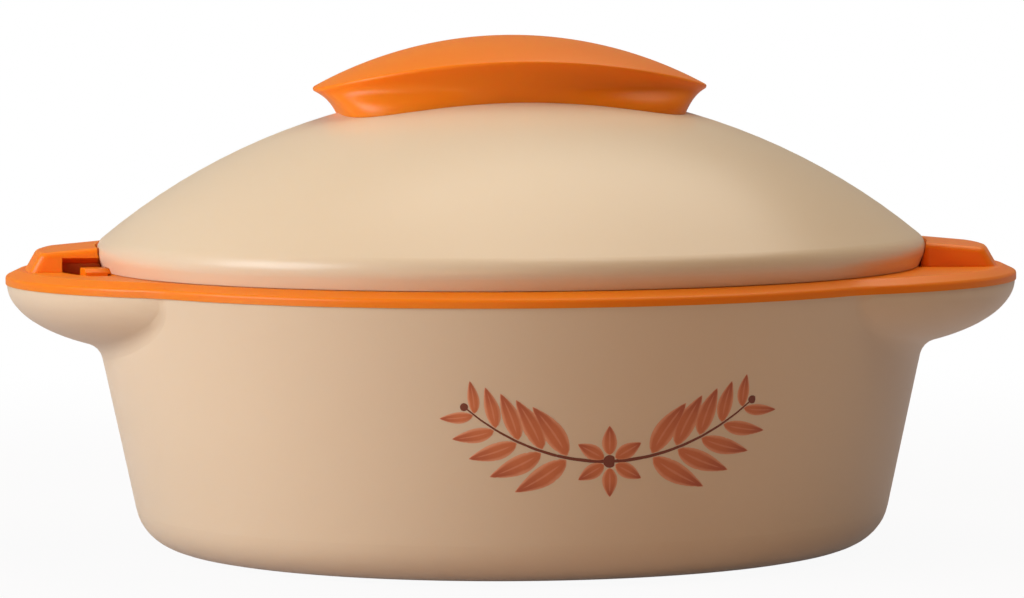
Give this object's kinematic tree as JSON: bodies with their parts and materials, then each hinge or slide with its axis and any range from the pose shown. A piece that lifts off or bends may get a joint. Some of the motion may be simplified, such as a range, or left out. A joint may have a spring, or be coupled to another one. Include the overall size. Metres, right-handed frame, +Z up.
{
  "type": "insulated casserole",
  "caption": "Round foam-insulated serving casserole with a steel bowl, two wing handles and a domed twist-lock lid with an arched knob.",
  "frame": {"origin": "on the table under the middle of the bowl", "axes": "+Z up, +X along the handles, -Y is the front"},
  "size_m": [0.3, 0.253, 0.1516],
  "materials": {
    "shell_cream": "smooth moulded plastic with a soft gloss",
    "trim_orange": "smooth moulded plastic with a soft gloss",
    "liner_ivory": "fine matte moulded plastic",
    "bowl_steel": "spun and polished stainless steel",
    "screw_steel": "plain zinc plated",
    "silicone": "translucent matte silicone",
    "foam": "rigid closed-cell foam"
  },
  "bodies": {
    "base": {"outer_shell": "shell_cream", "rim_collar": "trim_orange", "inner_bowl": "bowl_steel", "bowl_rim_seal": "silicone", "body_foam": "foam", "base_plate": "shell_cream", "base_fill_plug": "shell_cream"},
    "lid_seal": {"lid_gasket": "silicone"},
    "lid": {"lid_dome": "shell_cream", "lid_lock_ring": "trim_orange", "lid_inner_plate": "liner_ivory", "lid_foam": "foam", "lid_fill_plug": "shell_cream", "knob": "trim_orange", "knob_screws": "screw_steel", "knob_washers": "screw_steel"}
  },
  "joints": [
    {"name": "lid_lift", "type": "slide", "parent": "base", "child": "lid_seal", "axis": [0, 0, 1], "range_m": [0, 0.12]},
    {"name": "lid_turn", "type": "hinge", "parent": "lid_seal", "child": "lid", "pos_m": [0, 0, 0.09], "axis": [0, 0, 1], "range_deg": [-7, 0]}
  ]
}
